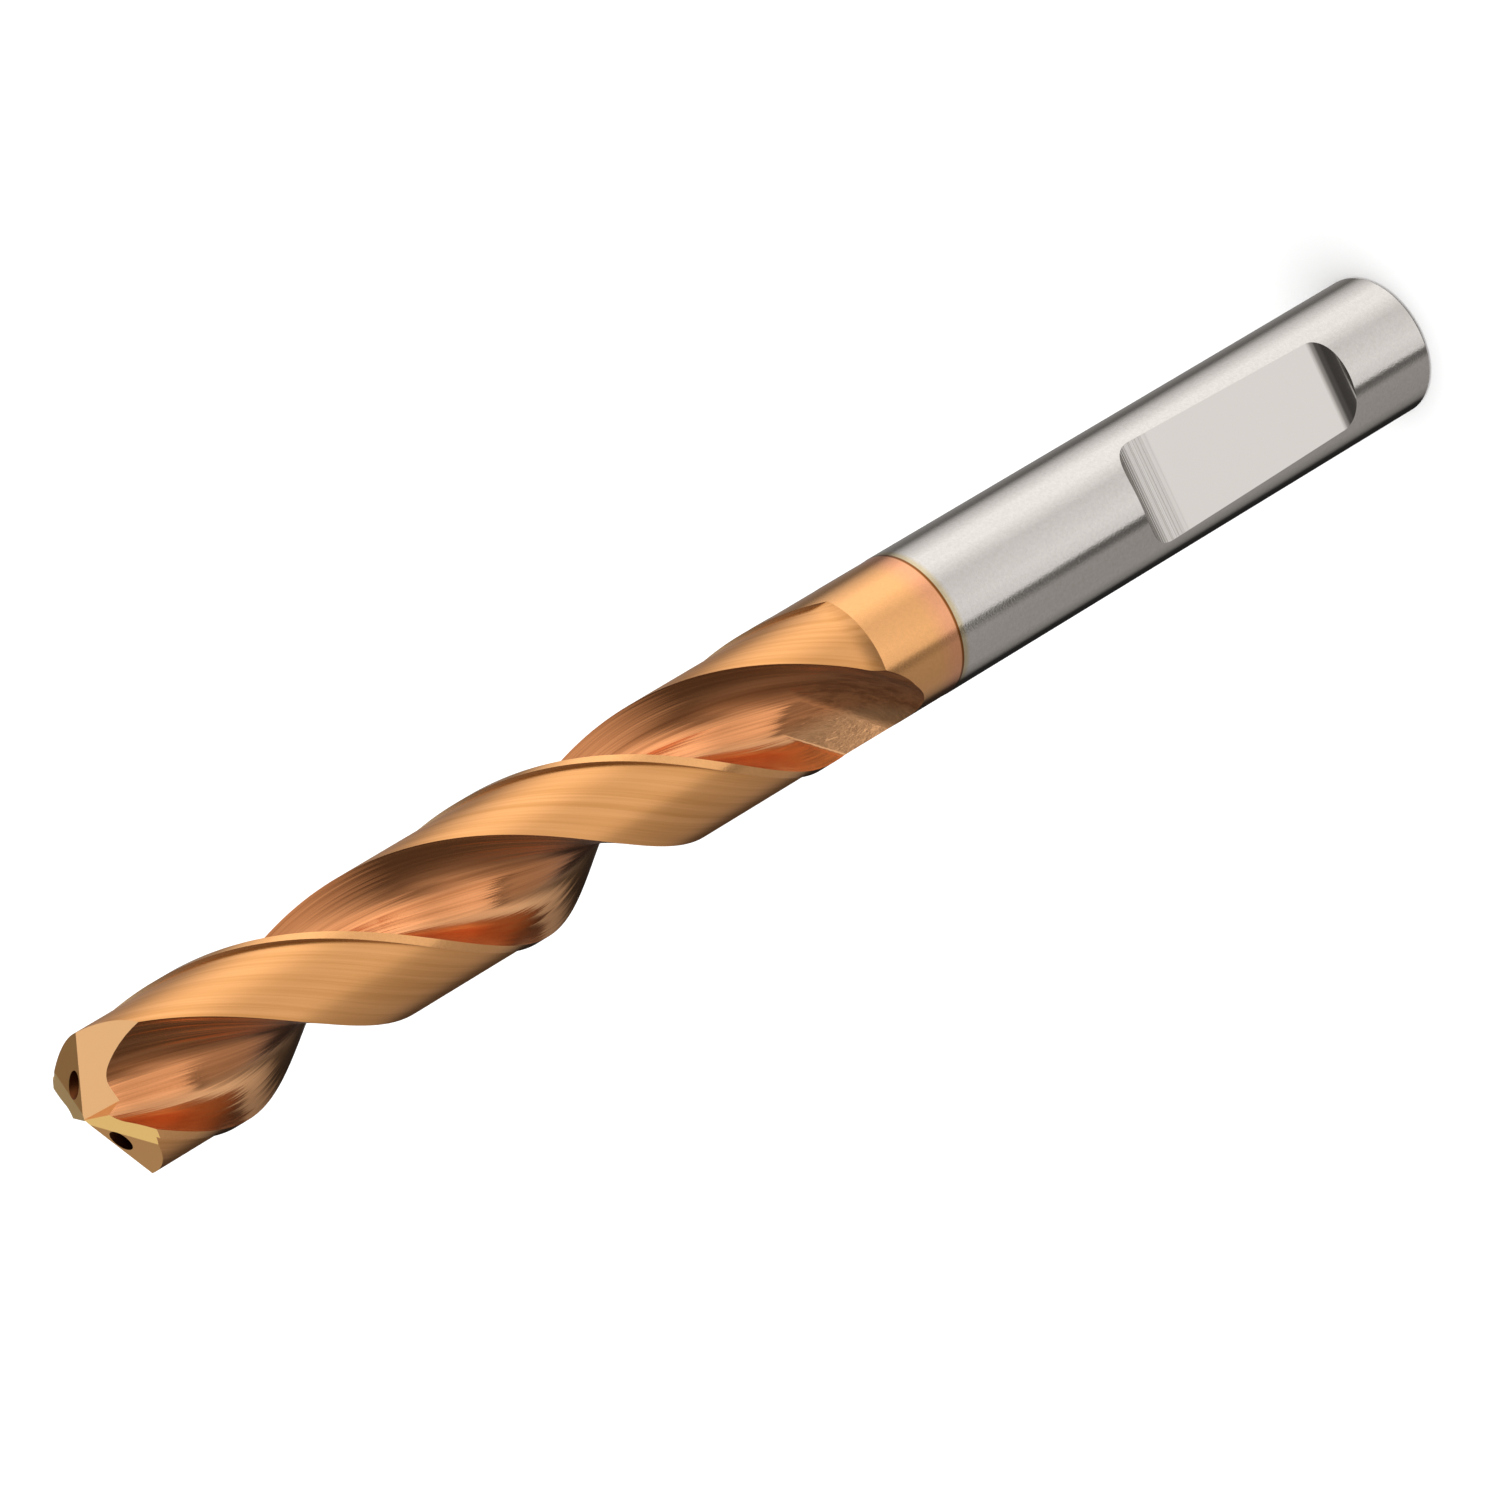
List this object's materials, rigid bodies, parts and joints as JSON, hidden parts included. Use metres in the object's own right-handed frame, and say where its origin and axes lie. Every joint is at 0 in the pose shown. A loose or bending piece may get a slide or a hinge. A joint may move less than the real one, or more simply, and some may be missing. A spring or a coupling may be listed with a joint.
{
  "type": "solid carbide drill",
  "caption": "Coated solid carbide twist drill with coolant channels, a faceted 140 degree point and a plain shank with an inclined clamping flat.",
  "frame": {"origin": "centre of the shank's flat end face", "axes": "+Z along the drill's axis towards the point; the clamping flat on the shank faces -Y"},
  "size_m": [0.008, 0.008, 0.0911],
  "materials": {
    "drill": "ground cemented carbide with a thin copper-coloured coating over the flutes and body; the shank is bare grey carbide, finely ground"
  },
  "bodies": {
    "root": {"drill": "drill"}
  },
  "joints": []
}
